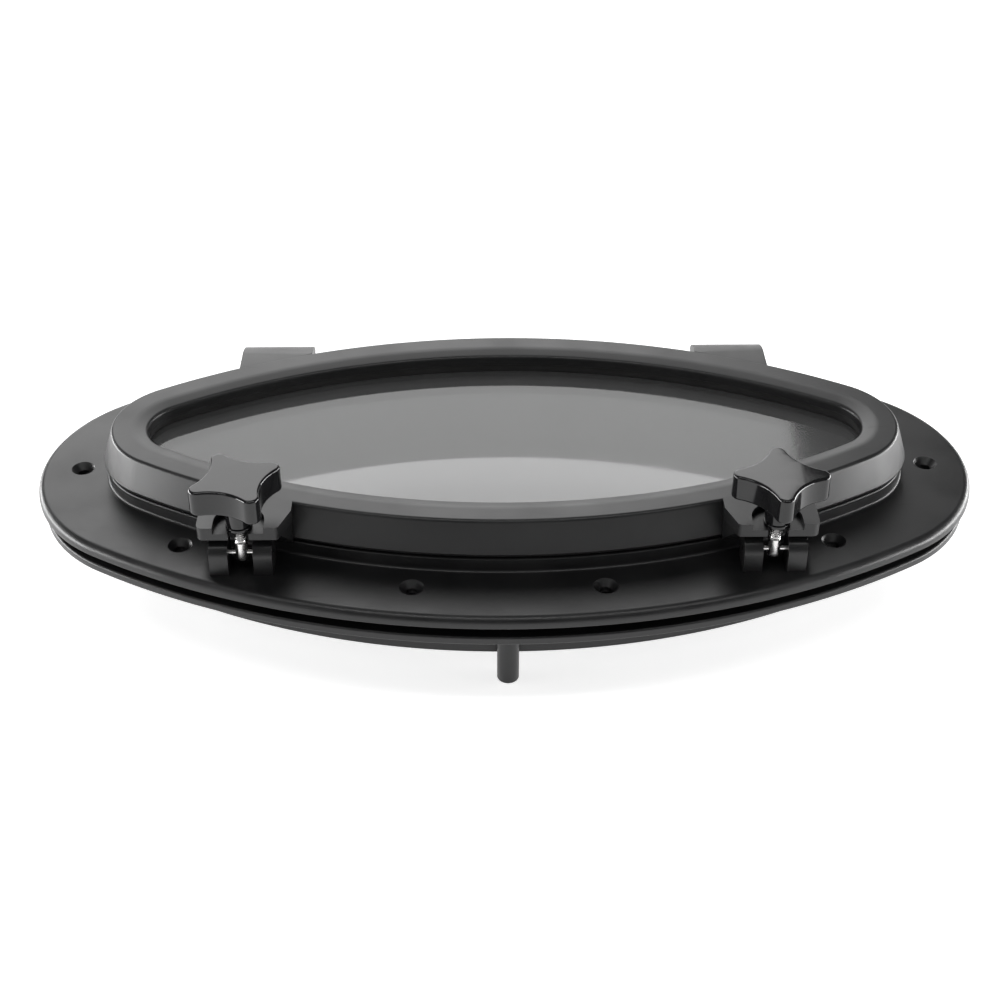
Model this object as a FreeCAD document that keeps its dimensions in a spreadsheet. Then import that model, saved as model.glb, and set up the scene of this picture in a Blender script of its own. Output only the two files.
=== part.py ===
"""Oval opening port light with a glazed leaf, two swing bolts with star knobs and a clamp ring behind.

Millimetres. The origin is the middle of the flange's seating face, +Z points out of the wall that the
flange lies on, +X runs along the long axis, and the hinges are on the +Y side.
"""
import FreeCAD, Part
import math
import os

import Sketcher

doc = FreeCAD.newDocument("port_light")

DIMENSIONS = {
    # the oval family: four tangent arcs that share their centres, named by how far in they lie
    "half_length": 220.0,
    "half_width": 115.6,
    "end_radius": 73.1,
    # the frame's flange, upstand (coaming) and spigot
    "flange_thick": 5.5,
    "flange_round": 3.2,
    "coaming_inset": 33.0,
    "coaming_top": 12.5,
    "spigot_inset": 36.8,
    "spigot_bore_inset": 40.0,
    "spigot_depth": 43.5,
    # countersunk fixing holes through the flange
    "fix_radius": 2.75,
    "fix_sink_radius": 5.4,
    "fix_inset": 20.0,
    "fix_inner_x": 42.0,
    "fix_outer_x": 146.0,
    # clamp ring that goes behind the wall
    "ring_inset": 2.0,
    "ring_bore_inset": 36.3,
    "ring_top": -6.0,
    "ring_thick": 4.0,
    "ring_pilot_radius": 1.6,
    "ring_notch_radius": 5.6,
    # drain tube beside the spigot
    "tube_centre_y": -85.0,
    "tube_radius": 5.0,
    "tube_bore_radius": 3.4,
    "tube_top": 1.6,
    "tube_bottom": -53.0,
    "tube_end_round": 1.2,
    "drain_slot_width": 5.0,
    "drain_slot_top": 3.9,
    # the leaf: outer wall leans in, top slopes down to the window
    "foot_inset": 31.3,
    "foot_level": 13.8,
    "crest_inset": 36.8,
    "crest_level": 30.4,
    "window_inset": 53.5,
    "window_level": 28.7,
    "lip_level": 24.0,
    "crest_bevel": 0.5,
    "window_round": 1.2,
    "pane_pocket_inset": 46.5,
    "retainer_seat_inset": 40.8,
    "retainer_seat_level": 15.0,
    # glass pane and what holds it
    "pane_inset": 47.0,
    "pane_bottom": 15.0,
    "pane_thick": 5.0,
    "bed_inset": 46.9,
    "bed_bore_inset": 53.1,
    "retainer_inset": 41.3,
    "retainer_bore_inset": 53.5,
    "retainer_bottom": 11.8,
    "screw_inset": 43.8,
    "screw_inner_x": 50.0,
    "screw_outer_x": 115.0,
    "screw_radius": 1.45,
    "screw_head_radius": 2.8,
    "screw_head_height": 1.6,
    "screw_top": 21.0,
    # weather seal between the leaf and the coaming
    "seal_inset": 34.4,
    "seal_bore_inset": 38.6,
    "seal_groove_level": 17.0,
    # swing bolts: two lugs on the flange, a pin, a bolt, a washer and a knob
    "dog_x": 116.0,
    "dog_y": -77.5,
    "dog_pin_level": 14.1,
    "dog_lug_reach": 6.6,
    "lug_width": 8.2,
    "lug_gap": 11.0,
    "pin_radius": 1.5,
    "pin_clearance": 0.05,
    "bolt_radius": 2.95,
    "bolt_bottom": 10.4,
    "bolt_top": 46.0,
    "washer_radius": 6.0,
    "washer_thick": 1.6,
    "washer_bore_radius": 3.2,
    "hub_radius": 5.4,
    "hub_top_radius": 7.0,
    "hub_height": 12.2,
    "knob_tip_reach": 20.8,
    "knob_tip_radius": 4.0,
    "knob_valley_reach": 13.0,
    "knob_thick": 12.0,
    "knob_bevel": 0.8,
    "insert_radius": 4.2,
    "insert_height": 16.0,
    "insert_bore_radius": 3.0,
    "knob_bore_height": 20.5,
    # fork brackets on the leaf, which the swing bolts clamp
    "fork_outer_x": 134.0,
    "fork_front_inner_x": 99.0,
    "fork_root_inner_x": 94.2,
    "fork_front_y": -83.2,
    "fork_taper_y": -70.2,
    "fork_web_foot_y": -70.5,
    "fork_plate_bottom": 24.1,
    "fork_web": 3.4,
    "fork_inner_web_x": 101.8,
    "fork_corner": 3.0,
    "seat_radius": 11.0,
    "seat_level": 27.4,
    "seat_relief": 0.05,
    "slot_width": 9.0,
    # hinges at the back
    "hinge_x": 112.3,
    "hinge_y": 86.5,
    "hinge_level": 11.3,
    "hinge_lug_reach": 5.5,
    "knuckle_width": 10.4,
    "tab_width": 34.5,
    "tab_top_y": 70.5,
    "tab_back_y": 79.0,
    "tab_back_level": 19.5,
    "tab_heel_y": 74.0,
    "tab_round": 4.0,
    # how far a cut runs past what it cuts
    "overcut": 1.0,
}

sheet = doc.addObject("Spreadsheet::Sheet", "dims")
for row, (alias, value) in enumerate(DIMENSIONS.items(), start=1):
    sheet.set(f"A{row}", alias)
    sheet.set(f"B{row}", str(value))
    sheet.setAlias(f"B{row}", alias)
doc.recompute()


def size(alias):
    """The number that the sheet holds for an alias."""
    return float(sheet.get(alias))


END_CENTRE = "(dims.half_length - dims.end_radius)"
SIDE_RADIUS = (
    f"(({END_CENTRE}^2 + dims.half_width^2 - dims.end_radius^2)"
    " / (2 * (dims.half_width - dims.end_radius)))"
)
SIDE_CENTRE = f"({SIDE_RADIUS} - dims.half_width)"

end_centre = size("half_length") - size("end_radius")
side_radius = (end_centre**2 + size("half_width") ** 2 - size("end_radius") ** 2) / (
    2 * (size("half_width") - size("end_radius"))
)
side_centre = side_radius - size("half_width")
# half the turn of each end arc, seen from its centre
END_TURN = math.atan2(side_centre, end_centre)


def new_body(label):
    body = doc.addObject("PartDesign::Body", label)
    body.Label = label
    return body


def plane_of(body, role):
    return next(f for f in body.Origin.OriginFeatures if f.Role == role)


def new_sketch(body, name, role="XY_Plane", level=None):
    """A sketch on one of the body's origin planes, raised along the plane's normal by an expression."""
    sketch = body.newObject("Sketcher::SketchObject", name)
    sketch.AttachmentSupport = [(plane_of(body, role), "")]
    sketch.MapMode = "FlatFace"
    if level:
        sketch.setExpression("AttachmentOffset.Base.z", level)
    return sketch


def value_of(expression):
    """What an expression over the sheet comes to, as a first place for a sketch's points."""
    probe = doc.addObject("App::FeaturePython", "probe")
    probe.addProperty("App::PropertyFloat", "Result")
    probe.setExpression("Result", expression)
    doc.recompute([probe])
    result = probe.Result
    doc.removeObject(probe.Name)
    return result


def fix_point(sketch, geometry, end, x, y):
    """Hold one point of a sketch at x, y from its origin: expressions, 0 for on the axis, None for free."""
    for kind, axis, expression in (("DistanceX", -2, x), ("DistanceY", -1, y)):
        if expression is None:
            continue
        if expression == 0:
            sketch.addConstraint(Sketcher.Constraint("PointOnObject", geometry, end, axis))
            continue
        number = value_of(expression)
        index = sketch.addConstraint(Sketcher.Constraint(kind, -1, 1, geometry, end, number))
        sketch.setExpression(f"Constraints[{index}]", expression)


def polygon(sketch, corners):
    """A closed outline of straight lines through corners, each a pair of expressions."""
    points = [
        FreeCAD.Vector(value_of(x) if x else 0, value_of(y) if y else 0, 0) for x, y in corners
    ]
    first = sketch.GeometryCount
    count = len(points)
    for i, point in enumerate(points):
        sketch.addGeometry(Part.LineSegment(point, points[(i + 1) % count]), False)
    for i in range(count):
        follower = first + (i + 1) % count
        sketch.addConstraint(Sketcher.Constraint("Coincident", first + i, 2, follower, 1))
    for i, (x, y) in enumerate(corners):
        fix_point(sketch, first + i, 1, x, y)


def circle(sketch, x, y, radius):
    """A circle whose centre and radius are expressions."""
    centre = FreeCAD.Vector(value_of(x) if x else 0, value_of(y) if y else 0, 0)
    index = sketch.addGeometry(Part.Circle(centre, FreeCAD.Vector(0, 0, 1), value_of(radius)), False)
    fix_point(sketch, index, 3, x, y)
    datum = sketch.addConstraint(Sketcher.Constraint("Radius", index, value_of(radius)))
    sketch.setExpression(f"Constraints[{datum}]", radius)
    return index


def extrude(body, kind, name, sketch, length, midplane=False, reverse=False):
    """A Pad or Pocket of a sketch. length is an expression, or None for a cut through everything."""
    feature = body.newObject(f"PartDesign::{kind}", name)
    feature.Profile = sketch
    if length is None:
        feature.Type = "ThroughAll"
    else:
        feature.setExpression("Length", length)
    feature.Midplane = midplane
    feature.Reversed = reverse
    sketch.Visibility = False
    doc.recompute()
    return feature


def mirror(body, name, features, role):
    """The features mirrored in one of the body's origin planes."""
    feature = body.newObject("PartDesign::Mirrored", name)
    feature.Originals = features
    feature.MirrorPlane = (plane_of(body, role), [""])
    body.Tip = feature
    doc.recompute()
    return feature


def sweep_section(body, name, section, kind="Revolution"):
    """Add a section that follows the oval all round, or cut it away when kind is Groove.

    section lists its corners as (inset from the flange's edge, level). Each arc of the oval is a turn of
    the section about that arc's own centre, so every face is a true cylinder, cone or plane.
    """
    arcs = (
        ("end", "XZ_Plane", "dims.half_length", END_CENTRE, END_TURN, "YZ_Plane"),
        ("side", "YZ_Plane", "dims.half_width", f"(-{SIDE_CENTRE})", math.pi / 2 - END_TURN, "XZ_Plane"),
    )
    for arc, role, reach, centre, half_turn, opposite in arcs:
        sketch = new_sketch(body, f"{name}_{arc}_section", role)
        polygon(sketch, [(f"{reach} - ({inset})", level) for inset, level in section])
        middle = value_of(centre)
        axis = Part.LineSegment(FreeCAD.Vector(middle, 0, 0), FreeCAD.Vector(middle, 10, 0))
        index = sketch.addGeometry(axis, True)
        fix_point(sketch, index, 1, centre, 0)
        sketch.addConstraint(Sketcher.Constraint("Vertical", index))
        sketch.addConstraint(Sketcher.Constraint("Distance", index, 10.0))
        turn = body.newObject(f"PartDesign::{kind}", f"{name}_{arc}")
        turn.Profile = sketch
        turn.ReferenceAxis = (sketch, ["Axis0"])
        turn.Angle = 2 * math.degrees(half_turn)
        turn.Midplane = True
        sketch.Visibility = False
        doc.recompute()
        mirror(body, f"{name}_{arc}_mirrored", [turn], opposite)


def oval_ring(label, section):
    """A body that is one section swept round the oval."""
    body = new_body(label)
    sweep_section(body, label, section)
    return body


def turned(body, name, corners, kind="Revolution"):
    """A section turned a full circle about the body's Z axis. corners are (radius, level)."""
    sketch = new_sketch(body, f"{name}_section", "XZ_Plane")
    polygon(sketch, corners)
    feature = body.newObject(f"PartDesign::{kind}", name)
    feature.Profile = sketch
    feature.ReferenceAxis = (sketch, ["V_Axis"])
    feature.Angle = 360
    sketch.Visibility = False
    doc.recompute()
    return feature


def round_edges(body, name, radius, test):
    """A fillet on the edges of the body's present shape that pass the test."""
    tip = body.Tip
    names = [f"Edge{i}" for i, edge in enumerate(tip.Shape.Edges, start=1) if test(edge)]
    if not names:
        raise RuntimeError(f"{name}: no edge to round")
    fillet = body.newObject("PartDesign::Fillet", name)
    fillet.Base = (tip, names)
    fillet.setExpression("Radius", radius)
    body.Tip = fillet
    doc.recompute()
    return fillet


def oval_edge(inset, level):
    """A test for the oval's own edges at an inset and a level, both numbers."""
    radii = (size("end_radius") - inset, side_radius - inset)

    def test(edge):
        if not isinstance(edge.Curve, Part.Circle):
            return False
        centre = edge.Curve.Center
        return abs(centre.z - level) < 0.01 and min(abs(edge.Curve.Radius - r) for r in radii) < 0.01

    return test


def oval_outline(sketch, inset):
    """The oval itself at an inset: two end arcs and two side arcs, tangent all round."""
    end_r = value_of(f"dims.end_radius - {inset}")
    side_r = value_of(f"{SIDE_RADIUS} - {inset}")
    up = FreeCAD.Vector(0, 0, 1)
    arcs = (
        (end_centre, 0, end_r, -END_TURN, END_TURN),
        (0, -side_centre, side_r, END_TURN, math.pi - END_TURN),
        (-end_centre, 0, end_r, math.pi - END_TURN, math.pi + END_TURN),
        (0, side_centre, side_r, math.pi + END_TURN, 2 * math.pi - END_TURN),
    )
    for x, y, radius, start, stop in arcs:
        ring = Part.Circle(FreeCAD.Vector(x, y, 0), up, radius)
        sketch.addGeometry(Part.ArcOfCircle(ring, start, stop), False)
    for first in range(4):
        sketch.addConstraint(Sketcher.Constraint("Tangent", first, 2, (first + 1) % 4, 1))
    fix_point(sketch, 0, 3, END_CENTRE, 0)
    fix_point(sketch, 1, 3, 0, f"-{SIDE_CENTRE}")
    fix_point(sketch, 2, 3, f"-{END_CENTRE}", 0)
    fix_point(sketch, 3, 3, None, SIDE_CENTRE)
    datum = sketch.addConstraint(Sketcher.Constraint("Radius", 0, end_r))
    sketch.setExpression(f"Constraints[{datum}]", f"dims.end_radius - {inset}")


def on_side_arc(x, inset):
    """The Y of a point on the oval's +Y side arc at an inset, as an expression."""
    return f"(sqrt(({SIDE_RADIUS} - {inset})^2 - {x}^2) - {SIDE_CENTRE})"


def spread_round(inset, inner_x, outer_x):
    """Ten places round the oval: two pairs on each side and one at each end, as expressions."""
    places = []
    for side in ("-", ""):
        for x in (inner_x, outer_x):
            for end in ("-", ""):
                places.append((f"{end}{x}", f"{side}{on_side_arc(x, inset)}"))
    places.append((f"dims.half_length - {inset}", 0))
    places.append((f"-(dims.half_length - {inset})", 0))
    return places


def drill(body, name, places, radius, level, length=None, upward=False):
    """Round holes at several places, cut from a level."""
    sketch = new_sketch(body, f"{name}_layout", "XY_Plane", level)
    for x, y in places:
        circle(sketch, x, y, radius)
    return extrude(body, "Pocket", name, sketch, length, reverse=upward)


def across_x(body, kind, name, draw, x, width):
    """A profile drawn in the YZ plane, made width wide about the plane at x."""
    sketch = new_sketch(body, f"{name}_profile", "YZ_Plane", x)
    draw(sketch)
    return extrude(body, kind, name, sketch, width, midplane=True)


def lug_profile(y, level, reach):
    """Draws a lug: straight sides up from inside the flange, and a top round about the pin."""
    foot = "dims.flange_thick - dims.overcut"

    def draw(sketch):
        cy, cz, r = value_of(y), value_of(level), value_of(reach)
        low = value_of(foot)
        corners = [(cy - r, cz), (cy - r, low), (cy + r, low), (cy + r, cz)]
        points = [FreeCAD.Vector(a, b, 0) for a, b in corners]
        for i in range(3):
            sketch.addGeometry(Part.LineSegment(points[i], points[i + 1]), False)
        ring = Part.Circle(FreeCAD.Vector(cy, cz, 0), FreeCAD.Vector(0, 0, 1), r)
        sketch.addGeometry(Part.ArcOfCircle(ring, 0, math.pi), False)
        for i in range(2):
            sketch.addConstraint(Sketcher.Constraint("Coincident", i, 2, i + 1, 1))
        sketch.addConstraint(Sketcher.Constraint("Tangent", 2, 2, 3, 1))
        sketch.addConstraint(Sketcher.Constraint("Tangent", 3, 2, 0, 1))
        fix_point(sketch, 3, 3, y, level)
        fix_point(sketch, 0, 2, f"{y} - {reach}", foot)
        fix_point(sketch, 1, 2, f"{y} + {reach}", foot)

    return draw


def round_profile(y, level, radius):
    return lambda sketch: circle(sketch, y, level, radius)


def straight_profile(corners):
    return lambda sketch: polygon(sketch, corners)


def straight_edge_near(x, y):
    """A test for an upright edge that stands at x, y, both numbers."""

    def test(edge):
        if not isinstance(edge.Curve, Part.Line) or len(edge.Vertexes) != 2:
            return False
        a, b = (v.Point for v in edge.Vertexes)
        upright = abs(a.x - b.x) < 0.01 and abs(a.y - b.y) < 0.01 and abs(a.z - b.z) > 1
        return upright and math.hypot(a.x - x, a.y - y) < 0.05

    return test


def level_edge_along_x(y, z, length):
    """A test for an edge along X at y, z that is about as long as length, all numbers."""

    def test(edge):
        if not isinstance(edge.Curve, Part.Line) or len(edge.Vertexes) != 2:
            return False
        a, b = (v.Point for v in edge.Vertexes)
        level = max(abs(a.y - y), abs(b.y - y), abs(a.z - z), abs(b.z - z)) < 0.05
        return level and abs(abs(a.x - b.x) - length) < 0.05

    return test


# ---- main frame: flange, coaming and spigot in one moulding, with the lugs for dogs and hinges ----

main_frame = oval_ring(
    "main_frame",
    [
        ("0", 0),
        ("0", "dims.flange_thick"),
        ("dims.coaming_inset", "dims.flange_thick"),
        ("dims.coaming_inset", "dims.coaming_top"),
        ("dims.spigot_bore_inset", "dims.coaming_top"),
        ("dims.spigot_bore_inset", "-dims.spigot_depth"),
        ("dims.spigot_inset", "-dims.spigot_depth"),
        ("dims.spigot_inset", 0),
    ],
)
round_edges(main_frame, "flange_edge", "dims.flange_round", oval_edge(0, size("flange_thick")))

LUG_STEP = "(dims.lug_gap + dims.lug_width) / 2"
PIN_LENGTH = "dims.lug_gap + 2 * dims.lug_width"
lug_features = []
for fitting, reach in (("dog", "dims.dog_lug_reach"), ("hinge", "dims.hinge_lug_reach")):
    level = "dims.dog_pin_level" if fitting == "dog" else "dims.hinge_level"
    for side, sign in (("inner", "-"), ("outer", "+")):
        lug_features.append(
            across_x(
                main_frame,
                "Pad",
                f"{fitting}_lug_{side}",
                lug_profile(f"dims.{fitting}_y", level, reach),
                f"dims.{fitting}_x {sign} {LUG_STEP}",
                "dims.lug_width",
            )
        )
    lug_features.append(
        across_x(
            main_frame,
            "Pocket",
            f"{fitting}_pin_bore",
            round_profile(f"dims.{fitting}_y", level, "dims.pin_radius"),
            f"dims.{fitting}_x",
            f"{PIN_LENGTH} + 2 * dims.overcut",
        )
    )
mirror(main_frame, "lugs_mirrored", lug_features, "YZ_Plane")

fix_places = spread_round("dims.fix_inset", "dims.fix_inner_x", "dims.fix_outer_x")
drill(main_frame, "fixing_holes", fix_places, "dims.fix_radius", "dims.flange_thick")
sinks = drill(
    main_frame,
    "countersinks",
    fix_places,
    "dims.fix_sink_radius",
    "dims.flange_thick",
    length="dims.fix_sink_radius - dims.fix_radius",
)
sinks.TaperAngle = -45
doc.recompute()

drill(
    main_frame,
    "tube_socket",
    [(0, "dims.tube_centre_y")],
    "dims.tube_radius",
    None,
    length="dims.tube_top",
    upward=True,
)
drain = new_sketch(main_frame, "drain_slot_outline", "XY_Plane", "dims.tube_top")
DRAIN_END = "-(dims.half_width - dims.spigot_bore_inset - dims.overcut)"
polygon(
    drain,
    [
        ("-dims.drain_slot_width / 2", "dims.tube_centre_y - dims.drain_slot_width / 2"),
        ("dims.drain_slot_width / 2", "dims.tube_centre_y - dims.drain_slot_width / 2"),
        ("dims.drain_slot_width / 2", DRAIN_END),
        ("-dims.drain_slot_width / 2", DRAIN_END),
    ],
)
extrude(main_frame, "Pocket", "drain_slot", drain, "dims.drain_slot_top - dims.tube_top", reverse=True)

# ---- clamp ring: it slides on the spigot, behind the wall ----

RING_BOTTOM = "dims.ring_top - dims.ring_thick"
clamp_ring = oval_ring(
    "clamp_ring",
    [
        ("dims.ring_inset", RING_BOTTOM),
        ("dims.ring_inset", "dims.ring_top"),
        ("dims.ring_bore_inset", "dims.ring_top"),
        ("dims.ring_bore_inset", RING_BOTTOM),
    ],
)
round_edges(
    clamp_ring,
    "clamp_ring_edge",
    "dims.ring_thick / 3",
    oval_edge(size("ring_inset"), size("ring_top")),
)
drill(clamp_ring, "pilot_holes", fix_places, "dims.ring_pilot_radius", "dims.ring_top")
drill(
    clamp_ring,
    "tube_notch_end",
    [(0, "dims.tube_centre_y")],
    "dims.ring_notch_radius",
    "dims.ring_top",
)
notch = new_sketch(clamp_ring, "tube_notch_outline", "XY_Plane", "dims.ring_top")
NOTCH_MOUTH = "-(dims.half_width - dims.ring_bore_inset - dims.overcut)"
polygon(
    notch,
    [
        ("-dims.ring_notch_radius", "dims.tube_centre_y"),
        ("dims.ring_notch_radius", "dims.tube_centre_y"),
        ("dims.ring_notch_radius", NOTCH_MOUTH),
        ("-dims.ring_notch_radius", NOTCH_MOUTH),
    ],
)
extrude(clamp_ring, "Pocket", "tube_notch", notch, None)

# ---- drain tube: a plain hose end, rounded at its tip ----

drain_tube = new_body("drain_tube")
turned(
    drain_tube,
    "tube_wall",
    [
        ("dims.tube_bore_radius", "dims.tube_bottom"),
        ("dims.tube_radius - dims.tube_end_round", "dims.tube_bottom"),
        ("dims.tube_radius", "dims.tube_bottom + dims.tube_end_round"),
        ("dims.tube_radius", "dims.tube_top"),
        ("dims.tube_bore_radius", "dims.tube_top"),
    ],
)
drain_tube.setExpression("Placement.Base.y", "dims.tube_centre_y")

# ---- leaf frame: one section all round, with a fork and a hinge tab on each side of the middle ----

leaf_frame = oval_ring(
    "leaf_frame",
    [
        ("dims.foot_inset", "dims.foot_level"),
        ("dims.crest_inset - dims.crest_bevel / 3", "dims.crest_level - dims.crest_bevel"),
        ("dims.crest_inset + dims.crest_bevel", "dims.crest_level"),
        ("dims.window_inset - dims.window_round", "dims.window_level + dims.window_round / 10"),
        ("dims.window_inset - dims.window_round * 0.3", "dims.window_level - dims.window_round * 0.3"),
        ("dims.window_inset", "dims.window_level - dims.window_round"),
        ("dims.window_inset", "dims.lip_level"),
        ("dims.pane_pocket_inset", "dims.lip_level"),
        ("dims.pane_pocket_inset", "dims.retainer_seat_level"),
        ("dims.retainer_seat_inset", "dims.retainer_seat_level"),
        ("dims.retainer_seat_inset", "dims.foot_level"),
        ("dims.seal_bore_inset", "dims.foot_level"),
        ("dims.seal_bore_inset", "dims.seal_groove_level"),
        ("dims.seal_inset", "dims.seal_groove_level"),
        ("dims.seal_inset", "dims.foot_level"),
    ],
)


def arm_pad(name, side, x_low, x_high, far_y, root_inset, bottom, top):
    """A block that grows out of the leaf's wall: straight on three sides, and its root is the oval's arc.

    side is -1 for the front and 1 for the back. Everything else is an expression.
    """
    sketch = new_sketch(leaf_frame, f"{name}_outline", "XY_Plane", bottom)
    radius = value_of(f"{SIDE_RADIUS} - {root_inset}")
    low, high, far = value_of(x_low), value_of(x_high), value_of(far_y)
    centre = FreeCAD.Vector(0, -side * side_centre, 0)

    def on_root(x):
        return FreeCAD.Vector(x, centre.y + side * math.sqrt(radius**2 - x**2), 0)

    corners = [on_root(low), FreeCAD.Vector(low, far, 0), FreeCAD.Vector(high, far, 0), on_root(high)]
    for i in range(3):
        sketch.addGeometry(Part.LineSegment(corners[i], corners[i + 1]), False)
    ends = sorted(math.atan2(p.y - centre.y, p.x) for p in (corners[0], corners[3]))
    ring = Part.Circle(centre, FreeCAD.Vector(0, 0, 1), radius)
    sketch.addGeometry(Part.ArcOfCircle(ring, *ends), False)
    arc_at_low, arc_at_high = (1, 2) if side < 0 else (2, 1)
    sketch.addConstraint(Sketcher.Constraint("Coincident", 0, 2, 1, 1))
    sketch.addConstraint(Sketcher.Constraint("Coincident", 1, 2, 2, 1))
    sketch.addConstraint(Sketcher.Constraint("Coincident", 2, 2, 3, arc_at_high))
    sketch.addConstraint(Sketcher.Constraint("Coincident", 3, arc_at_low, 0, 1))
    sketch.addConstraint(Sketcher.Constraint("Vertical", 0))
    sketch.addConstraint(Sketcher.Constraint("Vertical", 2))
    fix_point(sketch, 1, 1, x_low, far_y)
    fix_point(sketch, 1, 2, x_high, far_y)
    fix_point(sketch, 3, 3, 0, SIDE_CENTRE if side < 0 else f"-{SIDE_CENTRE}")
    datum = sketch.addConstraint(Sketcher.Constraint("Radius", 3, radius))
    sketch.setExpression(f"Constraints[{datum}]", f"{SIDE_RADIUS} - {root_inset}")
    return extrude(leaf_frame, "Pad", name, sketch, f"{top} - {bottom}")


# a root that lies inside the wall: the low one stops short of the seal's groove
UPPER_ROOT = "(dims.crest_inset + 1)"
LOWER_ROOT = "(dims.foot_inset + 1.2)"
arms = [
    arm_pad(
        "fork_plate",
        -1,
        "dims.fork_root_inner_x",
        "dims.fork_outer_x",
        "dims.fork_front_y",
        UPPER_ROOT,
        "dims.fork_plate_bottom",
        "dims.crest_level",
    )
]
for web, x_low, x_high in (
    ("inner", "dims.fork_root_inner_x", "dims.fork_inner_web_x"),
    ("outer", "dims.fork_outer_x - dims.fork_web", "dims.fork_outer_x"),
):
    for part, root, bottom, top in (
        ("upper", UPPER_ROOT, "dims.seal_groove_level", "dims.fork_plate_bottom"),
        ("lower", LOWER_ROOT, "dims.foot_level", "dims.seal_groove_level"),
    ):
        name = f"fork_{web}_web_{part}"
        arms.append(arm_pad(name, -1, x_low, x_high, "dims.fork_front_y", root, bottom, top))
for part, root, bottom, top in (
    ("upper", UPPER_ROOT, "dims.seal_groove_level", "dims.crest_level"),
    ("lower", LOWER_ROOT, "dims.foot_level", "dims.seal_groove_level"),
):
    x_low = "dims.hinge_x - dims.tab_width / 2"
    x_high = "dims.hinge_x + dims.tab_width / 2"
    arms.append(arm_pad(f"hinge_tab_{part}", 1, x_low, x_high, "dims.tab_back_y", root, bottom, top))

# the fork's webs slope up to the plate's front edge, and its inner side leans towards the dog
arms.append(
    across_x(
        leaf_frame,
        "Pocket",
        "web_slope",
        straight_profile(
            [
                ("dims.fork_front_y", "dims.fork_plate_bottom"),
                ("dims.fork_web_foot_y", "dims.foot_level"),
                ("dims.fork_web_foot_y", "dims.foot_level - dims.overcut"),
                ("dims.fork_front_y - dims.overcut", "dims.foot_level - dims.overcut"),
                ("dims.fork_front_y - dims.overcut", "dims.fork_plate_bottom"),
            ]
        ),
        "dims.dog_x",
        "2 * (dims.dog_x - dims.fork_root_inner_x + dims.overcut)",
    )
)
taper = new_sketch(leaf_frame, "fork_taper_outline", "XY_Plane", "dims.crest_level + dims.overcut")
polygon(
    taper,
    [
        ("dims.fork_root_inner_x", "dims.fork_taper_y"),
        ("dims.fork_front_inner_x", "dims.fork_front_y"),
        ("dims.fork_front_inner_x", "dims.fork_front_y - dims.overcut"),
        ("dims.fork_root_inner_x", "dims.fork_front_y - dims.overcut"),
    ],
)
arms.append(extrude(leaf_frame, "Pocket", "fork_taper", taper, None))

# the hinge tab falls away behind, and a knuckle reaches down from it to the pin
arms.append(
    across_x(
        leaf_frame,
        "Pocket",
        "tab_back",
        straight_profile(
            [
                ("dims.tab_top_y", "dims.crest_level"),
                ("dims.tab_back_y", "dims.tab_back_level"),
                ("dims.tab_heel_y", "dims.foot_level - dims.overcut"),
                ("dims.tab_back_y + dims.overcut", "dims.foot_level - dims.overcut"),
                ("dims.tab_back_y + dims.overcut", "dims.crest_level + dims.overcut"),
                ("dims.tab_top_y", "dims.crest_level + dims.overcut"),
            ]
        ),
        "dims.hinge_x",
        "dims.tab_width + 2 * dims.overcut",
    )
)
arms.append(
    across_x(
        leaf_frame,
        "Pad",
        "knuckle_arm",
        straight_profile(
            [
                ("dims.tab_top_y", "dims.tab_back_level"),
                ("dims.tab_heel_y", "dims.tab_back_level + 2"),
                ("dims.hinge_y", "dims.hinge_level + dims.hinge_lug_reach"),
                ("dims.hinge_y", "dims.hinge_level - dims.hinge_lug_reach"),
                ("dims.tab_top_y + 1", "dims.foot_level + 1"),
            ]
        ),
        "dims.hinge_x",
        "dims.knuckle_width",
    )
)
arms.append(
    across_x(
        leaf_frame,
        "Pad",
        "knuckle",
        round_profile("dims.hinge_y", "dims.hinge_level", "dims.hinge_lug_reach"),
        "dims.hinge_x",
        "dims.knuckle_width",
    )
)
arms.append(
    across_x(
        leaf_frame,
        "Pocket",
        "knuckle_bore",
        round_profile("dims.hinge_y", "dims.hinge_level", "dims.pin_radius + dims.pin_clearance"),
        "dims.hinge_x",
        "dims.knuckle_width + 2 * dims.overcut",
    )
)
mirror(leaf_frame, "arms_mirrored", arms, "YZ_Plane")


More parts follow.
